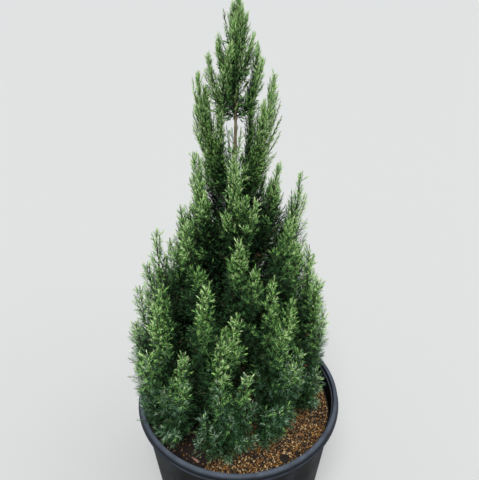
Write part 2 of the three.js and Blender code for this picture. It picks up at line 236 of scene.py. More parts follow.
def moulded_plastic():
    """Black plastic with a fine grain, dust and a painted highlight on what faces up, and faint upright
    water marks.
    """
    plastic, add, finish = new_material("pot_plastic")
    place = add("TexCoord").outputs["Object"]
    scuffs = add("TexNoise", {"Vector": place, "Scale": 26, "Detail": 8, "Roughness": 0.65})
    # What faces up turns light grey-blue: dust, and a painted highlight of the light from above
    facing = add("SeparateXYZ", {"Vector": add("NewGeometry").outputs["Normal"]})
    dust_and_highlight = add("Math", {0: facing.outputs["Z"], 1: scuffs.outputs["Fac"]}, operation="MULTIPLY",
               use_clamp=True)
    upright = add("Mapping", {"Vector": place, "Scale": (1, 1, 0.06)})
    streaks = add("TexNoise", {"Vector": upright.outputs["Vector"], "Scale": 44, "Detail": 6})
    streak = add("MapRange", {"Value": streaks.outputs["Fac"], "From Min": 0.38, "From Max": 0.8,
                              "To Max": 0.13})
    film_and_highlight = add("Math", {0: dust_and_highlight.outputs["Value"], 1: streak.outputs["Result"]}, operation="MAXIMUM")
    tint = blended(add, film_and_highlight.outputs["Value"], colour("040506"), colour("666f7c"))
    grain = add("TexNoise", {"Vector": place, "Scale": 1400, "Detail": 2})
    bump = add("Bump", {"Height": grain.outputs["Fac"], "Strength": 0.18, "Distance": 0.0004})
    rough = add("MapRange", {"Value": scuffs.outputs["Fac"], "To Min": 0.42, "To Max": 0.68})
    finish({"Base Color": tint, "Roughness": rough.outputs["Result"], "Normal": bump.outputs["Normal"],
            "Specular IOR Level": 0.05})
    return plastic


pot = new_piece("nursery_pot", pot_shell(), moulded_plastic())
pot.data.shade_smooth()
pot.data.set_sharp_from_angle(angle=radians(sharp_from))
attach(pot, "root")
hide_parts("pot")


# Compost
# Dark potting compost, crumbly and moist, fills the pot to 40 mm below its rim and swells a little
# towards the trunk.
soil_below_rim = 40 * MM
soil_mound = 4 * MM
mound_share = 0.45
soil_gap = 0.6 * MM
soil_bottom = 3.3 * MM
soil_edge = pot_height - soil_below_rim
soil_radius = inner_radius_at(soil_edge) - soil_gap
soil_segments = 120
soil_rings = 48
crumb_relief = 1.6 * MM
crumb_waves = ((90, 1), (260, 0.6), (600, 0.4))
edge_steepness = 12


def mix(a, b, t):
    """The number a share t of the way from a to b."""
    return a + (b - a) * t


def smooth_step(low, high, value):
    """0 below low, 1 above high, and an even rise between them."""
    share = min(1, max(0, (value - low) / (high - low)))
    return share * share * (3 - 2 * share)


def soil_height(x, y):
    """The compost's surface, with its crumbs, at a place in metres."""
    out = hypot(x, y) / soil_radius
    level = soil_edge + soil_mound * (1 - smooth_step(mound_share, 1, out))
    crumbs = sum(height * noise.noise(Vector((x, y, 0)) * scale) for scale, height in crumb_waves)
    return level + crumb_relief * crumbs * min(1, edge_steepness * (1 - out))


def compost_bed():
    """A closed block of compost with its surface raised into crumbs."""
    bm = bmesh.new()
    surface = [(soil_radius * (1 - ring / soil_rings), soil_edge) for ring in range(soil_rings + 1)]
    bottom = [(0, soil_bottom), (inner_radius_at(soil_bottom) - soil_gap, soil_bottom)]
    spun(bm, [*bottom, *surface], soil_segments)
    for vert in bm.verts:
        if vert.co.z > soil_edge - MM:
            vert.co.z = soil_height(vert.co.x, vert.co.y)
    return bm


def mottle_group():
    """Two colours mingled by noise: the second shows where noise passes Start, up to Amount."""
    group = bpy.data.node_groups.new("mottle", "ShaderNodeTree")
    for name in ("Vector", "First", "Second", "Scale", "Detail", "Roughness", "Start", "Amount"):
        kind = {"Vector": "Vector", "First": "Color", "Second": "Color"}.get(name, "Float")
        group.interface.new_socket(name=name, in_out="INPUT", socket_type=f"NodeSocket{kind}")
    group.interface.new_socket(name="Color", in_out="OUTPUT", socket_type="NodeSocketColor")
    add = adder(group)
    given = group.nodes.new("NodeGroupInput").outputs
    pattern = {key: given[key] for key in ("Vector", "Scale", "Detail", "Roughness")}
    blotch = add("TexNoise", pattern)
    share = add("MapRange", {"Value": blotch.outputs["Fac"], "From Min": given["Start"],
                             "To Max": given["Amount"]})
    mingled = blended(add, share.outputs["Result"], given["First"], given["Second"])
    fill(group, group.nodes.new("NodeGroupOutput"), {"Color": mingled})
    return group


mottle = mottle_group()


def mottled(add, first, second, scale, detail, roughness=0.5, start=0, amount=1):
    """The colour that a mottle node puts out in a material."""
    place = add("TexCoord").outputs["Object"]
    values = {"Vector": place, "First": first, "Second": second, "Scale": scale, "Detail": detail,
              "Roughness": roughness, "Start": start, "Amount": amount}
    return add("Group", values, node_tree=mottle).outputs["Color"]


def dark_compost():
    """Nearly black and brown lumps with a coarse speckled relief."""
    compost, add, finish = new_material("compost")
    place = add("TexCoord").outputs["Object"]
    earth = mottled(add, colour("0b0806"), colour("241a12"), 130, 6, roughness=0.7)
    specks = add("TexVoronoi", {"Vector": place, "Scale": 420})
    relief = {"Height": specks.outputs["Distance"], "Strength": 1, "Distance": 0.002}
    bump = add("Bump", relief)
    finish({"Base Color": earth, "Normal": bump.outputs["Normal"], "Roughness": 0.95})
    return compost


soil = new_piece("compost_bed", compost_bed(), dark_compost())
soil.data.shade_smooth()
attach(soil, "root")
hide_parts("soil")


# Bark mulch
# Crumbs of composted bark, ochre, orange and brown, are strewn over the compost, thick in front and
# on the right. On the left it is nearly bare of light crumbs: nearly all are dark, decomposed and in
# painted shade, with slim dark shreds and one loose reddish chip.
bark_colours = {"ochre": "c6aa7c", "orange": "946628", "brown": "5c3f1a", "dark": "22170b",
                "rosy": "9a7564"}
bark_shares = [0.16, 0.3, 0.26, 0.28, 0]
grain_colour = "2a1a10"
mulch_seed = 11
crumb_count = 42000
crumb_kinds = 5
crumb_cube = 0.8
crumb_corners = (0.5, 1.2)
crumb_flatness = 0.7
crumb_sizes = (1.1 * MM, 2.9 * MM)
small_preference = 1.8
crumb_stretch = (0.9, 1.7)
crumb_tilt = 0.5
crumb_lift = (-0.1, 0.6)
crumb_edge_gap = 3 * MM
crumb_areas = (0.01, 1)
any_turn = (0, 6.3)
all_round = (-200, 160)

# The mulch thins out in patches. All crumbs are dark in ragged gaps of (across, deep, radius), which
# also paint the rim's shadow, and nearly all over the bearings of the bare side, decomposed and in
# painted shade
patch_scale, patch_level = 32, 5 * MM
crumbs_kept, patch_effect = 0.85, 0.9
dark_crumbs_kept = 0.6
gaps_in_rim_shadow = [(55 * MM, -148 * MM, 7 * MM), (75 * MM, -115 * MM, 5 * MM), (99 * MM, -108 * MM, 4 * MM)]
gap_and_shadow_raggedness = 2
bare_and_shaded_from, bare_and_shaded_to = -200, -112
bare_and_shaded_share = 0.93

shred_count = 240
shred_lengths = (6 * MM, 15 * MM)
shred_widths = (1.5 * MM, 3.5 * MM)
shred_thickness = 1.4 * MM
shred_tilt = 0.3
shred_lift = MM
shred_edge_gap = 6 * MM
shred_areas = (0.4, 1)
shreds_past_bare_and_shaded = 30
shred_shares = {"dark": 0.8, "brown": 0.16, "rosy": 0.04}

chip_place = (-71 * MM, -120 * MM)
chip_size = (20 * MM, 4.5 * MM, 2.5 * MM)
chip_heading = -40
chip_lift = 2 * MM


def arrays_of(bm):
    """A bmesh of triangles as an array of points and an array of corner numbers."""
    bmesh.ops.triangulate(bm, faces=bm.faces[:])
    bm.verts.index_update()
    points = np.array([vert.co[:] for vert in bm.verts], np.float32)
    corners = np.array([[vert.index for vert in face.verts] for face in bm.faces], np.int32)
    bm.free()
    return points, corners


def strewn(name, parts, material):
    """One piece of many small shapes. Each part is (points, corners, matrices), and a matrix has a
    small shape's three sides as columns and its place as the last."""
    all_points, all_corners, first = [], [], 0
    for points, corners, matrices in parts:
        placed = np.einsum("nij,pj->npi", matrices[:, :, :3], points) + matrices[:, None, :, 3]
        starts = first + len(points) * np.arange(len(matrices))
        all_points.append(placed.reshape(-1, 3))
        all_corners.append((corners[None] + starts[:, None, None]).reshape(-1, 3))
        first += len(points) * len(matrices)
    points, corners = np.concatenate(all_points), np.concatenate(all_corners)
    mesh = bpy.data.meshes.new(name)
    mesh.vertices.add(len(points))
    mesh.vertices.foreach_set("co", points.astype(np.float32).ravel())
    mesh.loops.add(corners.size)
    mesh.loops.foreach_set("vertex_index", corners.astype(np.int32).ravel())
    mesh.polygons.add(len(corners))
    mesh.polygons.foreach_set("loop_start", 3 * np.arange(len(corners), dtype=np.int32))
    mesh.update(calc_edges=True)
    mesh.validate()
    return piece_of(name, mesh, material)


def crumb_shape(seed):
    """An angular crumb of bark, about 1 across and flatter than it is wide."""
    chance = np.random.RandomState(seed)
    bm = bmesh.new()
    bmesh.ops.create_cube(bm, size=crumb_cube)
    for vert in bm.verts:
        vert.co *= chance.uniform(*crumb_corners)
        vert.co.z *= crumb_flatness
    return arrays_of(bm)


def tumbled(tilt, axis):
    """A chance turn about the upright axis, after a small tilt about a level one."""
    turn = Matrix.Rotation(chance.uniform(*any_turn), 3, "Z")
    return np.array(turn @ Matrix.Rotation(chance.normal(0, tilt), 3, axis))


def lying(sides, x, y, lift):
    """The matrix of a small shape that lies on the compost."""
    return np.hstack([sides, [[x], [y], [soil_height(x, y) + lift]]])


chance = np.random.RandomState(mulch_seed)
crumb_shapes = [crumb_shape(seed) for seed in range(crumb_kinds)]
crumbs = {tint: [[] for _ in crumb_shapes] for tint in bark_colours}
for _ in range(crumb_count):
    out = (soil_radius - crumb_edge_gap) * sqrt(chance.uniform(*crumb_areas))
    bearing = chance.uniform(*all_round)
    x, y = out * cos(radians(bearing)), out * sin(radians(bearing))
    patch = noise.noise(Vector((x, y, patch_level)) * patch_scale)
    size = mix(*crumb_sizes, chance.uniform() ** small_preference)
    turn = tumbled(crumb_tilt, "X")
    shape = chance.randint(len(crumb_shapes))
    tint = chance.choice(list(bark_colours), p=bark_shares)
    lift = chance.uniform(*crumb_lift) * size
    # The bare side's crumbs are dark, decomposed and in painted shade
    if bare_and_shaded_from < bearing < bare_and_shaded_to and chance.uniform() < bare_and_shaded_share:
        tint = "dark"
    # All crumbs in these gaps are dark, bare compost and a painted shadow of the rim
    for across, deep, radius in gaps_in_rim_shadow:
        if hypot(x - across, y - deep) < radius * (1 + gap_and_shadow_raggedness * patch):
            tint = "dark"
    if chance.uniform() < (dark_crumbs_kept if tint == "dark" else crumbs_kept + patch_effect * patch):
        sides = turn * size * np.array([[chance.uniform(*crumb_stretch), 1, 1]])
        crumbs[tint][shape].append(lying(sides, x, y, lift))

for _ in range(shred_count):
    out = (soil_radius - shred_edge_gap) * sqrt(chance.uniform(*shred_areas))
    bearing = radians(chance.uniform(bare_and_shaded_from, bare_and_shaded_to + shreds_past_bare_and_shaded))
    x, y = out * cos(bearing), out * sin(bearing)
    turn = tumbled(shred_tilt, "Y")
    length, width = chance.uniform(*shred_lengths), chance.uniform(*shred_widths)
    tint = chance.choice(list(shred_shares), p=list(shred_shares.values()))
    sides = turn * np.array([[length, width, shred_thickness]])
    crumbs[tint][0].append(lying(sides, x, y, shred_lift))

chip_turn = np.array(Matrix.Rotation(radians(chip_heading), 3, "Z"))
crumbs["rosy"][0].append(lying(chip_turn * np.array([chip_size]), *chip_place, chip_lift))


def crumb_bark(tint, code):
    """Bark of one tone with a fine darker grain in it."""
    bark, add, finish = new_material(f"mulch_{tint}")
    grained = mottled(add, colour(code), colour(grain_colour), 900, 3, start=0.5, amount=0.6)
    finish({"Base Color": grained, "Roughness": 0.85})
    return bark


for tint, code in bark_colours.items():
    shapes = [(*shape, np.array(rows)) for shape, rows in zip(crumb_shapes, crumbs[tint]) if rows]
    mulch = strewn(f"bark_mulch_{tint}", shapes, crumb_bark(tint, code))
    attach(mulch, "root")
    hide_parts("soil")


# Trunk
# One straight young trunk with a slight sway and lean, from a flared foot in the compost to its tip
# inside the leader. Its thin grey-brown bark splits into upright strips that peel.

# From here on, sizes are in millimetres and heights are above the rim
rim_level = round(pot_height / MM)
trunk_foot = (-6, 0)
trunk_top = 612
trunk_radius = 9.4
trunk_tip_radius = 1.2
trunk_taper = 1.6
trunk_sunk = 6
flare_radius = 6
flare_height = 26
trunk_lean = 6
trunk_sway = 2
buttresses, buttress_depth, buttress_turn = 3, 0.13, 0.6
trunk_sides = 28
trunk_ring_gap = 3
trunk_strips = 2.2
trunk_relief, least_relief = 0.11, 0.1
ridge_length = 16
fine_ridge_length, fine_ridges, fine_depth = 7, 2.4, 0.5
soil_top = soil_mound / MM - soil_below_rim / MM


def trunk_at(height):
    """The trunk's middle at a height."""
    share = (height - soil_top) / (trunk_top - soil_top)
    sway = trunk_sway * sin(2 * pi * share)
    return Vector((trunk_foot[0] + trunk_lean * share ** 4, trunk_foot[1] + sway, rim_level + height))


def trunk_radius_at(height):
    left = max(0, 1 - (height - soil_top) / (trunk_top - soil_top))
    flare = flare_radius * exp(-(height - soil_top) / flare_height)
    return trunk_radius * left ** trunk_taper + trunk_tip_radius + flare


def tube(bm, skin, stations, sides):
    """A closed tube: a flat grid rolled up by skin(share along, angle), its seam and ends closed."""
    grid = bmesh.ops.create_grid(bm, x_segments=stations, y_segments=sides, size=0.5)["verts"]
    for vert in grid:
        vert.co = skin(vert.co.x + 0.5, 2 * pi * (vert.co.y + 0.5))
    edges = {edge for vert in grid for edge in vert.link_edges}
    bmesh.ops.remove_doubles(bm, verts=grid, dist=1e-7)
    ends = [edge for edge in edges if edge.is_valid and edge.is_boundary]
    bmesh.ops.holes_fill(bm, edges=ends, sides=sides)


def limb_piece(name, bm, material):
    """A smooth piece made of tubes."""
    bmesh.ops.recalc_face_normals(bm, faces=bm.faces[:])
    piece = new_piece(name, bm, material)
    piece.data.shade_smooth()
    return piece


def ridges(angle, run, strips, depth):
    """How far the long strips of bark stand out at an angle, some way along a limb."""
    spot = Vector((strips * cos(angle), strips * sin(angle), run / ridge_length))
    fine = Vector((fine_ridges * spot.x, fine_ridges * spot.y, run / fine_ridge_length))
    return depth * (noise.noise(spot) + fine_depth * noise.noise(fine))


def trunk_skin(t, angle):
    height = mix(soil_top - trunk_sunk, trunk_top, t)
    radius = trunk_radius_at(max(soil_top, height))
    depth = buttress_depth * exp(-(height - soil_top) / flare_height)
    buttress = 1 + depth * cos(buttresses * angle + buttress_turn)
    relief = ridges(angle, height, trunk_strips, trunk_relief * radius + least_relief)
    radius = radius * buttress + relief
    return (trunk_at(height) + radius * Vector((cos(angle), sin(angle), 0))) * MM


def peeling_bark():
    """Patches of grey-brown bark, with dark furrows between upright strips."""
    bark, add, finish = new_material("juniper_bark")
    place = add("TexCoord").outputs["Object"]
    drawn = add("Mapping", {"Vector": place, "Scale": (1, 1, 0.16)})
    strips = add("TexNoise", {"Vector": drawn.outputs["Vector"], "Scale": 520, "Detail": 5})
    wood = mottled(add, colour("7e6e48"), colour("9c9472"), 60, 3)
    furrow = add("MapRange", {"Value": strips.outputs["Fac"], "From Min": 0.58, "From Max": 0.4})
    tint = blended(add, furrow.outputs["Result"], wood, colour("382c1a"))
    bump = add("Bump", {"Height": strips.outputs["Fac"], "Strength": 0.8, "Distance": 0.0008})
    finish({"Base Color": tint, "Normal": bump.outputs["Normal"], "Roughness": 0.85})
    return bark


bark = peeling_bark()
bm = bmesh.new()
tube(bm, trunk_skin, round((trunk_top - soil_top) / trunk_ring_gap), trunk_sides)
trunk = limb_piece("trunk_bark", bm, bark)
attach(trunk, "root")
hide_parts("trunk")


# Boughs
# The three lower rings of plumes stand on boughs of the trunk's own wood and bark. Each swings out
# and up from the trunk and thins to its plume's foot. Higher plumes spring straight from the trunk.
bough_sides = 10
bough_rings = 30
bough_bow = (0.62, 0.22)
bough_strips, bough_relief = 1.5, 0.35
bough_offset = 50

# Rings of plumes from the soil up. Each point is [distance from the trunk, height above the rim], as
# on the solids. Towards the bearing in fuller a ring reaches further by the share beside it. A lobe
# is (start along the plume's stem, turn, belly, tip, girth).
rings = [
    dict(name="low", count=9, bearing=-94, step=40, seed=23900, fuller=(-160, 0.03),
         foot=(90, -8), belly=(142, 18), tip=(144, 244), girth=44,
         limb=dict(rise=-27, stagger=14, radii=(3.7, 2.4)),
         lobes=[(0.12, 17, (148, 26), (152, 184), 36), (0.05, -17, (142, -24), (165, 92), 36)]),
    dict(name="middle", count=7, bearing=-114, step=51.4, seed=17824, fuller=(180, 0.02),
         foot=(60, 58), belly=(120, 104), tip=(112, 330), girth=42,
         limb=dict(rise=20, stagger=12, radii=(3.3, 2.2)),
         lobes=[(0.12, 24, (122, 126), (124, 268), 36)]),
    dict(name="upper", count=7, bearing=-86, step=51.4, seed=3463, fuller=(0, 0.1),
         foot=(36, 146), belly=(82, 198), tip=(88, 386), girth=38,
         limb=dict(rise=112, stagger=10, radii=(2.8, 2)),
         lobes=[(0.12, 25, (88, 212), (96, 322), 32)]),
    dict(name="high", count=5, bearing=-88, step=72, seed=3210, fuller=(0, 0.08),
         foot=(0, 262), belly=(48, 290), tip=(58, 460), girth=34,
         lobes=[(0.25, 34, (52, 312), (63, 400), 27)]),
    dict(name="side", count=2, bearing=-8, step=186, seed=2918, fuller=(0, 0),
         foot=(0, 378), belly=(38, 404), tip=(48, 556), girth=25,
         lobes=[(0.2, 28, (20, 430), (23, 522), 18), (0.1, -16, (36, 436), (40, 528), 22)]),
    dict(name="crest", count=3, bearing=-150, step=120, seed=3711, fuller=(0, 0),
         foot=(0, 500), belly=(25, 506), tip=(39, 580), girth=18,
         lobes=[(0.25, 44, (24, 526), (31, 592), 14)]),
]

# How much the plumes of a ring differ, in shares or degrees, and where and how the crown is flatter
vary = dict(tall=0.24, wide=0.1, bearing=7, lean=14, lobe_tall=0.16)
flat = dict(bearing=-60, depth=0.14, power=3)
seed_step = 101

# A direction is taken from points this share of a stem either side
nearby = 0.004


def bezier(a, b, c, t):
    return (1 - t) * (1 - t) * a + 2 * t * (1 - t) * b + t * t * c


class Stem:
    """A line whose distance from the trunk and height follow a curve, while its bearing turns."""

    def __init__(self, foot, belly, tip, bearing, turn=0):
        self.foot, self.belly, self.tip = foot, belly, tip
        self.bearing, self.turn = bearing, turn
        middle = self.point(0.5)
        self.length = (middle - self.point(0)).length + (self.point(1) - middle).length

    def polar(self, t):
        reach = bezier(self.foot[0], self.belly[0], self.tip[0], t)
        height = bezier(self.foot[1], self.belly[1], self.tip[1], t)
        return reach, height, self.bearing + self.turn * t

    def point(self, t):
        reach, height, bearing = self.polar(t)
        angle = radians(bearing)
        return trunk_at(height) + reach * Vector((cos(angle), sin(angle), 0))

    def frame(self, t):
        """A point of the line and the directions along it, across it and outward from the trunk."""
        along = (self.point(min(1, t + nearby)) - self.point(max(0, t - nearby))).normalized()
        angle = radians(self.polar(t)[2])
        across = Vector((-sin(angle), cos(angle), 0))
        across = (across - along * across.dot(along)).normalized()
        return self.point(t), along, across, across.cross(along)


def seeded(seed):
    """A small repeatable source of numbers from 0 to 1."""
    state = seed & 0xFFFFFFFF

    def draw():
        nonlocal state
        state = (state + 0x6D2B79F5) & 0xFFFFFFFF
        t = ((state ^ (state >> 15)) * (state | 1)) & 0xFFFFFFFF
        t ^= (t + (((t ^ (t >> 7)) * (t | 61)) & 0xFFFFFFFF)) & 0xFFFFFFFF
        return ((t ^ (t >> 14)) & 0xFFFFFFFF) / 4294967296

    return draw


def around(draw, width):
    """A drawn number spread evenly round zero."""
    return width * (draw() - 0.5)


def plumes_of(ring):
    """The plumes of a ring, each with its own small seeded differences."""
    for i in range(ring["count"]):
        draw = seeded(ring["seed"] + seed_step * i)
        bearing = ring["bearing"] + ring["step"] * i + around(draw, vary["bearing"])
        tall = 1 + around(draw, vary["tall"])
        toward, share = ring["fuller"]
        wide = 1 + around(draw, vary["wide"]) + share * cos(radians(bearing - toward))
        facing = max(0, cos(radians(bearing - flat["bearing"])))
        wide -= flat["depth"] * facing ** flat["power"]
        turn = around(draw, vary["lean"])

        def point(place):
            return place[0] * wide, ring["foot"][1] + (place[1] - ring["foot"][1]) * tall

        main = Stem(point(ring["foot"]), point(ring["belly"]), point(ring["tip"]), bearing, turn)
        lobes = [dict(stem=main, girth=ring["girth"] * wide)]
        for start, lean, belly, tip, girth in ring["lobes"]:
            reach, height, start_bearing = main.polar(start)
            tip_reach, top = point(tip)
            top = mix(height, top, 1 + around(draw, vary["lobe_tall"]))
            lean += around(draw, vary["lean"])
            stem = Stem((reach, height), point(belly), (tip_reach, top), start_bearing, lean)
            lobes.append(dict(stem=stem, girth=girth * wide))
        yield dict(name=f"{ring['name']}_plume_{i + 1:02d}", index=i, draw=draw, lobes=lobes)


def limb_skin(line, radius_at):
    """A skin for a round limb along a line, of radius_at(share along, angle)."""
    def skin(t, angle):
        middle, _, across, outward = line.frame(t)
        out = cos(angle) * outward + sin(angle) * across
        return (middle + radius_at(t, angle) * out) * MM

    return skin


plumes = {ring["name"]: list(plumes_of(ring)) for ring in rings}
bm = bmesh.new()
bough_names = []
for ring in [ring for ring in rings if "limb" in ring]:
    for plume in plumes[ring["name"]]:
        main = plume["lobes"][0]["stem"]
        rise = ring["limb"]["rise"] + plume["index"] % 2 * ring["limb"]["stagger"]
        belly = bough_bow[0] * main.foot[0], mix(rise, main.foot[1], bough_bow[1])
        line = plume["bough"] = Stem((0, rise), belly, main.foot, main.bearing)

        def bough_radius(t, angle):
            run = line.length * t + bough_offset * plume["index"]
            return mix(*ring["limb"]["radii"], t) + ridges(angle, run, bough_strips, bough_relief)

        tube(bm, limb_skin(line, bough_radius), bough_rings, bough_sides)
        bough_names.append(plume["name"].replace("plume", "bough"))
boughs = limb_piece("bough_bark", bm, bark)
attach(boughs, "root")
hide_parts(*bough_names)


# Stems and twigs
# A plume is an upright stem and its side stems, hung all round with twigs that slant up and curl back
# to it. They are thin, greenish young wood. Where they grow is worked out here for the needles too.
golden_angle = 137.508
leader = dict(seed=67, foot=524, tip=648, girth=12)
ropes = dict(count=6, foot=536, rise=10, tip=592, tip_rise=7, reach=24, reach_loss=3.6, bow=0.7,
             bend=12, girth=10, bearing=200, vary=10)

# How each ring's plumes are filled. A twig slants most at a stem's foot, a gap is from one twig or
# shoot to the next, and sprigs are the side stems of a plume and of a lobe.
growth_columns = ("slants", "twig_gap", "shoot_gap", "inner_gap", "shoot", "lean", "sprigs")
growth_rows = {
    "low": ((46, 22), 4.9, 3.7, 4, 11.5, 44, (6, 4)),
    "middle": ((44, 20), 4.9, 3.7, 4, 11.5, 40, (6, 4)),
    "upper": ((40, 18), 4.6, 3.5, 4, 11, 37, (5, 4)),
    "high": ((35, 16), 4, 3.3, 3.4, 10, 32, (4, 3)),
    "side": ((28, 12), 2.7, 2.9, 2.6, 9, 26, (0, 0)),
    "crest": ((30, 12), 2.9, 2.6, 2.6, 8, 24, (0, 0)),
    "leader": ((26, 12), 2.9, 2.6, 2.6, 8, 24, (0, 0)),
}
growth = {ring_name: dict(zip(growth_columns, row)) for ring_name, row in growth_rows.items()}

# Side stems, in shares of their stem's length, of its plume's radius and of its girth
sprig_starts, start_vary = (0.02, 0.6), 0.6
sprig_lengths = (0.24, 0.34)
sprig_spreads = (0.72, 1.05)
sprig_turn = 50
sprig_bow = (0.85, 0.3)
sprig_girth = 0.52
least_reach = 25
column_girth = 0.84

# Twigs: where they stand along a stem, and their lengths in shares of its girth
first_twig, twig_span, fewest_twigs = 0.03, 0.94, 3
longest_twig, shortest_twig, usual_twig = 2.2, 0.7, 0.96
beyond_tip = 8
tested_at = 0.7
twig_lengths = (0.66, 1.2)
slant_vary, roll_vary = 12, 0.9
twig_curl = 0.16
bough_girth, bough_twig_gap = 30, 5

# Shoots: where they stand along a twig or stem, and how they lean and shorten along it
first_shoot, least_last, fewest_steps = 0.12, 0.3, 2
end_room = 0.95
gap_vary, spin_vary, lean_vary = 0.5, 60, 16
lean_loss = 0.4
shoot_lengths, shoot_taper = (0.75, 1.15), (1.2, 0.72)
own_luck = 0.3
inner_on_bough, inner_on_stem, inner_end = 0.3, 0.06, 0.84
inner_leans = (62, 14)
inner_lengths, inner_taper = (1.3, 2), (1.1, 0.6)

# How far shoots keep from the trunk, the compost and, below the rim, the pot's wall
trunk_room, soil_room, rim_room, wall_room = 2.5, 5, 4, 2
pot_inside = (inner_rim_radius - wall_room * MM) / MM

flame_girth, flame_foot, flame_swell, flame_point = 1.95, 0.02, 0.35, 0.75
clothing_seed = 909
stem_rings, stem_sides = 14, 6
stem_slimness = 26
stem_tip_radius = 0.5
twig_radii = (0.012, 0.005)
twig_cuts = 2


def leader_plume():
    """The column round the trunk's tip, with slim ropes that spiral up it."""
    draw = seeded(leader["seed"])
    middle = (leader["foot"] + leader["tip"]) / 2
    column = Stem((0, leader["foot"]), (0, middle), (0, leader["tip"]), 0)
    lobes = [dict(stem=column, girth=leader["girth"])]
    for k in range(ropes["count"]):
        reach = ropes["reach"] - ropes["reach_loss"] * k
        start = ropes["foot"] + ropes["rise"] * k
        end = ropes["tip"] + ropes["tip_rise"] * k + around(draw, ropes["vary"])
        belly = reach * ropes["bow"], start + ropes["bend"]
        stem = Stem((0, start), belly, (reach, end), ropes["bearing"] + golden_angle * k)
        lobes.append(dict(stem=stem, girth=ropes["girth"]))
    return dict(name="leader_plume", draw=draw, lobes=lobes)


def flame(t):
    """A plume's radius along its length, as a share of its girth."""
    return flame_girth * (t + flame_foot) ** flame_swell * (1 - t) ** flame_point


def sprigs_of(lobe, count, draw):
    """Side stems that leave a stem all round, bend up beside it and end in points of their own."""
    stem, girth = lobe["stem"], lobe["girth"]
    for k in range(count):
        start = mix(*sprig_starts, (k + start_vary * draw()) / count)
        end = start + mix(*sprig_lengths, draw())
        reach, height, bearing = stem.polar(start)
        tip_reach, tip_height, tip_bearing = stem.polar(end)
        spread = girth * flame(end) * mix(*sprig_spreads, draw())
        angle = radians(golden_angle * k + sprig_turn * draw())
        tip_reach += spread * cos(angle)
        aside = degrees(spread * sin(angle) / max(tip_reach, least_reach))
        turn = tip_bearing - bearing + aside
        belly = mix(reach, tip_reach, sprig_bow[0]), mix(height, tip_height, sprig_bow[1])
        sprig = Stem((reach, height), belly, (tip_reach, tip_height), bearing, turn)
        yield dict(stem=sprig, girth=sprig_girth * girth)


def twig_on(lobe, slants, number, count, draw):
    """A twig's root, directions and length, by the rule that places the sprays of the solids."""
    stem, girth = lobe["stem"], lobe["girth"]
    t = first_twig + twig_span * (number + 0.5) / count
    slant = radians(mix(*slants, t) + around(draw, slant_vary))
    roll = radians(golden_angle * number) + around(draw, roll_vary)
    longest = min(longest_twig * girth, (1 - t) * stem.length + beyond_tip)
    shortest = min(shortest_twig * girth, longest)
    length = min(longest, max(shortest, usual_twig * girth * flame(t) / sin(slant)))
    length *= mix(*twig_lengths, draw())
    root, along, across, outward = stem.frame(t)
    away = across * sin(roll) + outward * cos(roll)
    up = along * cos(slant) + away * sin(slant)
    face = (away - up * away.dot(up)).normalized()
    return dict(root=root, up=up, face=face, side=up.cross(face), length=length, t=t,
                outward=cos(roll))


def twig_point(twig, v):
    """A point of a twig, which curls up towards its stem, and the twig's direction there."""
    bend = twig_curl * twig["length"]
    point = twig["root"] + twig["up"] * (twig["length"] * v) - twig["face"] * (bend * v * v)
    direction = (twig["up"] * twig["length"] - twig["face"] * (2 * bend * v)).normalized()
    return point, direction


def in_the_way(point):
    """True where a shoot would be in the trunk, in the compost or in the pot's wall."""
    height = point.z - rim_level
    if height > trunk_top:
        return False
    if (point - trunk_at(height)).length < trunk_radius_at(max(height, soil_top)) + trunk_room:
        return True
    out = hypot(point.x, point.y)
    return point.z < soil_edge / MM + soil_room or (height < rim_room and out > pot_inside)


stems, twigs, shoots = [], [], []


def add_shoot(ring_name, foot, up, length, v, t, outward, luck):
    """Keeps a shoot, at v along its twig and t along its stem, unless something is in its way."""
    if not (in_the_way(foot + up * length) or in_the_way(foot + up * (0.5 * length))):
        shoots.append((ring_name, foot, up, length, v, t, outward, luck))


def add_twigs(ring_name, lobe, habit, draw):
    """Twigs all round a stem, each hung with shoots and ending in one."""
    count = max(fewest_twigs, round(lobe["stem"].length * twig_span / habit["twig_gap"]))
    for number in range(count):
        twig = twig_on(lobe, habit["slants"], number, count, draw)
        if in_the_way(twig_point(twig, tested_at)[0]):
            continue
        twigs.append(twig)
        twig_luck = draw()
        last = max(least_last, 1 - end_room * habit["shoot"] / twig["length"])
        steps = max(fewest_steps, round(twig["length"] * (last - first_shoot) / habit["shoot_gap"]))
        for k in range(steps + 1):
            share = (k + around(draw, gap_vary) * (k < steps)) / steps
            v = first_shoot + (last - first_shoot) * share
            foot, direction = twig_point(twig, v)
            spin = radians(golden_angle * k + spin_vary * draw())
            sideways = Matrix.Rotation(spin, 3, direction) @ twig["side"]
            lean = habit["lean"] * (1 - lean_loss * v) if k < steps else 0
            lean = radians(lean + around(draw, lean_vary))
            up = direction * cos(lean) + sideways * sin(lean)
            length = habit["shoot"] * mix(*shoot_lengths, draw()) * mix(*shoot_taper, v)
            luck = mix(twig_luck, draw(), own_luck)
            add_shoot(ring_name, foot, up, length, v, twig["t"], twig["outward"], luck)


def add_inner_shoots(ring_name, stem, habit, draw, first):
    """Sparse dark shoots straight on a stem or bough, in the shade of the twigs."""
    count = round(stem.length * (inner_end - first) / habit["inner_gap"])
    for number in range(count):
        t = first + (inner_end - first) * (number + draw()) / count
        foot, along, across, outward = stem.frame(t)
        roll = radians(golden_angle * number)
        away = across * sin(roll) + outward * cos(roll)
        lean = radians(mix(*inner_leans, t) + around(draw, lean_vary))
        up = along * cos(lean) + away * sin(lean)
        length = habit["shoot"] * mix(*inner_lengths, draw()) * mix(*inner_taper, t)
        add_shoot(ring_name, foot, up, length, 0, t, cos(roll), draw())


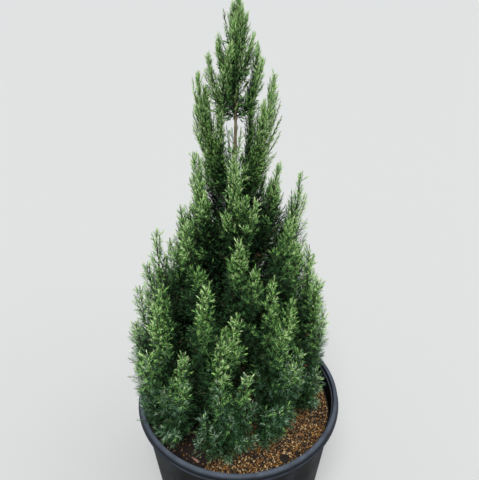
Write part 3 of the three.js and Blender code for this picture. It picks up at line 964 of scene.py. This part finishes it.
plumes["leader"] = [leader_plume()]
for ring_name, members in plumes.items():
    habit = growth[ring_name]
    for plume in members:
        draw = plume["draw"]
        if "bough" in plume:
            add_inner_shoots(ring_name, plume["bough"], habit, draw, inner_on_bough)
            bough = dict(stem=plume["bough"], girth=bough_girth)
            add_twigs(ring_name, bough, dict(habit, twig_gap=bough_twig_gap), draw)
        for number, lobe in enumerate(plume["lobes"]):
            sprigs = list(sprigs_of(lobe, habit["sprigs"][min(number, 1)], draw))
            column = dict(lobe, girth=lobe["girth"] * (column_girth if sprigs else 1))
            add_inner_shoots(ring_name, lobe["stem"], habit, draw, inner_on_stem)
            for each in (column, *sprigs):
                stems.append(each)
                add_twigs(ring_name, each, habit, draw)

# The trunk itself is clothed too: sprays over the soil, dark in painted shade, short ones among the
# plumes, and slim ropes that fan up round the leader. Only a short length of it stays bare, below the
# leader.
for ring_name, low, high, girth, slants, twig_gap, shoot_gap in (
    ("low", -22, 150, 88, (74, 46), 1.8, 5),
    ("middle", 60, 300, 78, (60, 34), 2.8, 4.6),
    ("middle", 240, 474, 38, (46, 22), 3.2, 4),
    ("crest", 494, 622, 29, (48, 16), 1.9, 2.6),
):
    clothed = dict(stem=Stem((0, low), (0, (low + high) / 2), (0, high), 0), girth=girth)
    habit = dict(growth[ring_name], slants=slants, twig_gap=twig_gap, shoot_gap=shoot_gap)
    add_twigs(ring_name, clothed, habit, seeded(clothing_seed + low))


def twig_shape():
    """A twig 1 long: a slim three-sided cone, bent by its curl."""
    bm = bmesh.new()
    bmesh.ops.create_cone(bm, cap_ends=True, segments=3, radius1=twig_radii[0], radius2=twig_radii[1],
                          depth=1, matrix=Matrix.Translation((0, 0, 0.5)))
    upright = [edge for edge in bm.edges if abs(edge.verts[0].co.z - edge.verts[1].co.z) > 0.5]
    bmesh.ops.subdivide_edges(bm, edges=upright, cuts=twig_cuts)
    for vert in bm.verts:
        vert.co.y -= twig_curl * vert.co.z ** 2
    return arrays_of(bm)


def standing(side, front, up, length, foot):
    """The matrix of a small shape 1 long, in metres, drawn out to a length and stood on a foot."""
    rows = [[side[i] * length, front[i] * length, up[i] * length, foot[i]] for i in range(3)]
    return np.array(rows) * MM


def young_bark():
    """Green and brown blotches of young wood."""
    bark, add, finish = new_material("twig_bark")
    finish({"Base Color": mottled(add, colour("2c3419"), colour("4f4a2c"), 90, 3), "Roughness": 0.8})
    return bark


bm = bmesh.new()
for lobe in stems:

    def stem_radius(t, angle):
        return mix(lobe["girth"] / stem_slimness, stem_tip_radius, t)

    tube(bm, limb_skin(lobe["stem"], stem_radius), stem_rings, stem_sides)
twig_bark = young_bark()
plume_stems = limb_piece("plume_stems", bm, twig_bark)
stood = [standing(*[twig[key] for key in ("side", "face", "up", "length", "root")]) for twig in twigs]
plume_twigs = strewn("plume_twigs", [(*twig_shape(), np.array(stood))], twig_bark)
for piece in (plume_stems, plume_twigs):
    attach(piece, "root")
    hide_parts(*[plume["name"] for members in plumes.values() for plume in members])


# Needles
# Every twig is hung with short shoots, ringed all round with narrow pointed needles. They are bluish
# low down, and their tones are painted light and shade, dark inside the crown and light green at the
# tips: one piece for each tone and zone.
# From shade to bright the tones are copies of one green in painted light and shade; frost and silver
# are bluish copies, and dead is brown
needle_tones = {
    "shade": "081a06", "dusk": "122a12", "deep": "355c33", "green": "689450", "fresh": "9ac86e",
    "bright": "cce2a8", "frost": "56765c", "silver": "98b094", "dead": "6d5240",
}
green_steps = ["dusk", "deep", "green", "fresh", "bright"]
frost_steps = ["dusk", "deep", "frost", "silver", "bright"]
dark_tones = ["shade", "dusk", "deep"]
darker_share, lighter_share = 0.72, 1.28
own_zones = ("low", "middle", "upper")
zone_of = {ring_name: ring_name if ring_name in own_zones else "top" for ring_name in plumes}

# A shoot's stalk and its needles, each turned and leaned a little by chance
stalk_radius, stalk_length = 0.05, 0.9
needle_span = (0.02, 0.76)
lean_chance, turn_chance = (-9, 9), (-25, 25)
needle_belly, width_to_fold = 0.36, 3
tone_order, order_vary = 0.45, 0.6
kinds_each = 4

# The crown's reach is taken at steps of height and bearing, over wider bands
shoot_middle = 0.7
level_step, sector_step = 20, 15
level_band, sector_band = 26, 20
reach_percentile = 92
shaded_depth = 50

# A shoot's light grows along its stem (t) and its twig (v), with luck, with height and outward, and
# it fades deep in the crown and low down
base_light = 0.08
stem_light, stem_power = 0.6, 1.6
twig_light, luck_light, high_light = 0.3, 0.34, 0.44
outward_light = (0.1, 0.26)
depths_of_shade, tip_relief = (48, 56), 0.5
low_shade = 0.26
high_range, low_range, frost_range = (300, 490), (220, 20), (240, 20)
least_light, deep_light, green_light = 0.05, 0.34, 0.72
near_tip, high_enough = 0.7, 0.5
frost_share = 0.9
dead_share, dead_below = 0.03, 300
inner_green, inner_green_rise = 0.3, 0.9

# One draw of luck decides several things, each by other digits of it
dead_digits, frost_digits, spin_digits, shape_digits = 31.7, 7.3, 13.7, 997
full_turn = 6.283
slim_from = 0.75


def shoot_shape(seed, needles, leans, lengths, half_width):
    """A needled shoot 1 long in three parts: its stalk with its most shaded needles, then the middling
    ones and the brightest, mostly near its tip. A needle is a narrow blade folded along its middle."""
    chance = np.random.RandomState(seed)
    parts = [bmesh.new() for _ in range(3)]
    shades = [tone_order * k / needles + order_vary * chance.uniform() for k in range(needles)]
    order = list(np.argsort(shades))
    bmesh.ops.create_cone(parts[0], cap_ends=True, segments=3, radius1=stalk_radius, radius2=0,
                          depth=stalk_length, matrix=Matrix.Translation((0, 0, stalk_length / 2)))
    for k in range(needles):
        share = k / (needles - 1)
        length = chance.uniform(*lengths)
        lean = radians(mix(*leans, share) + chance.uniform(*lean_chance))
        turn = radians(golden_angle * k + chance.uniform(*turn_chance))
        place = Matrix.Translation((0, 0, mix(*needle_span, share)))
        place = place @ Matrix.Rotation(turn, 4, "Z") @ Matrix.Rotation(lean, 4, "Y")
        part = parts[3 * order.index(k) // needles]
        blade = bmesh.ops.create_circle(part, cap_ends=True, segments=4, radius=1)["verts"]
        ends = [vert for vert in blade if abs(vert.co.x) < 0.5]
        for vert in blade:
            if vert in ends:
                vert.co = (0, 0, length if vert.co.y > 0 else 0)
            else:
                across = copysign(half_width, vert.co.x)
                vert.co = (-half_width / width_to_fold, across, needle_belly * length)
        bmesh.ops.connect_verts(part, verts=ends)
        bmesh.ops.transform(part, matrix=place, verts=blade)
    return [arrays_of(part) for part in parts]


shoot_kinds = {}
for kind, first_seed, needles, leans, lengths, half_width in (
    ("bushy", 0, 11, (64, 20), (0.62, 0.9), 0.03),
    ("slim", 20, 9, (42, 10), (0.48, 0.7), 0.042),
    ("coarse", 40, 6, (66, 24), (0.42, 0.62), 0.075),
):
    seeds = range(first_seed, first_seed + kinds_each)
    shoot_kinds[kind] = [shoot_shape(seed, needles, leans, lengths, half_width) for seed in seeds]

# How far the crown reaches at each height and bearing tells how deep in its shade a shoot is
places = np.array([foot + shoot_middle * length * up for _, foot, up, length, *_ in shoots])
levels = np.arange(places[:, 2].min(), places[:, 2].max() + level_step, level_step)
sectors = np.arange(-180, 180, sector_step)
offsets = places[:, :2] - np.array([trunk_at(min(trunk_top, z - rim_level))[:2] for z in places[:, 2]])
reaches = np.hypot(*offsets.T)
bearings = np.degrees(np.arctan2(offsets[:, 1], offsets[:, 0]))
crown_reach = np.zeros((len(levels), len(sectors)))
for row, level in enumerate(levels):
    near_level = abs(places[:, 2] - level) < level_band
    for column, sector in enumerate(sectors):
        close = near_level & (abs((bearings - sector + 180) % 360 - 180) < sector_band)
        crown_reach[row, column] = np.percentile(reaches[close], reach_percentile) if close.any() else 0
rows = np.rint((places[:, 2] - levels[0]) / level_step).astype(int)
columns = np.rint((bearings + 180) / sector_step).astype(int) % len(sectors)
depths = crown_reach[rows, columns] - reaches


def tones_for(height, depth, v, t, outward, luck):
    """The tones of a shoot's shaded, middling and bright needles, by where it grows."""
    rise = smooth_step(*high_range, height)
    if v == 0:
        if (luck * dead_digits) % 1 < dead_share and height < dead_below:
            return ["dead"] * 3
        return green_steps[:3] if luck < inner_green + inner_green_rise * rise else dark_tones
    # Painted light and shade, by where the shoot grows
    light = base_light + stem_light * t ** stem_power + twig_light * v + luck_light * (luck - 0.5)
    light += high_light * rise + mix(*outward_light, rise) * outward
    light -= depth / mix(*depths_of_shade, rise) * (1 - tip_relief * t * t)
    light -= low_shade * smooth_step(*low_range, height)
    if light < least_light:
        return dark_tones
    step = 1 if light < deep_light else 2 if light < green_light else 3
    frosted = (luck * frost_digits) % 1 < frost_share * smooth_step(*frost_range, height)
    steps = frost_steps if frosted else green_steps
    darkest = max(0, step - (1 if t > near_tip else 2))
    lightest = step + 1 if t > near_tip or v > near_tip or rise > high_enough else step
    return [steps[darkest], steps[step], steps[lightest]]


def needle_skin(tone, code):
    """A slightly waxy green of one tone."""
    skin, add, finish = new_material(f"needles_{tone}")
    blend = mottled(add, colour(code, darker_share), colour(code, lighter_share), 480, 1)
    finish({"Base Color": blend, "Roughness": 0.55, "Specular IOR Level": 0.2})
    return skin


needle_skins = {tone: needle_skin(tone, code) for tone, code in needle_tones.items()}
heaps = {}
for (ring_name, foot, up, length, v, t, outward, luck), place, depth in zip(shoots, places, depths):
    zone = zone_of[ring_name]
    spin = full_turn * ((luck * spin_digits) % 1)
    side = Matrix.Rotation(spin, 3, up) @ up.orthogonal().normalized()
    matrix = standing(side, up.cross(side), up, length, foot)
    kind = "slim" if zone == "top" or t > slim_from else "bushy"
    if v == 0 or depth > shaded_depth:
        kind = "coarse"
    number = int(luck * shape_digits) % kinds_each
    for part, tone in enumerate(tones_for(place[2] - rim_level, depth, v, t, outward, luck)):
        heaps.setdefault((zone, tone), {}).setdefault((kind, number, part), []).append(matrix)

for (zone, tone), heap in sorted(heaps.items()):
    parts = [
        (*shoot_kinds[kind][number][part], np.array(matrices))
        for (kind, number, part), matrices in sorted(heap.items())
    ]
    piece = strewn(f"{zone}_needles_{tone}", parts, needle_skins[tone])
    names = [plume["name"] for ring in plumes if zone_of[ring] == zone for plume in plumes[ring]]
    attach(piece, "root")
    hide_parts(*names)
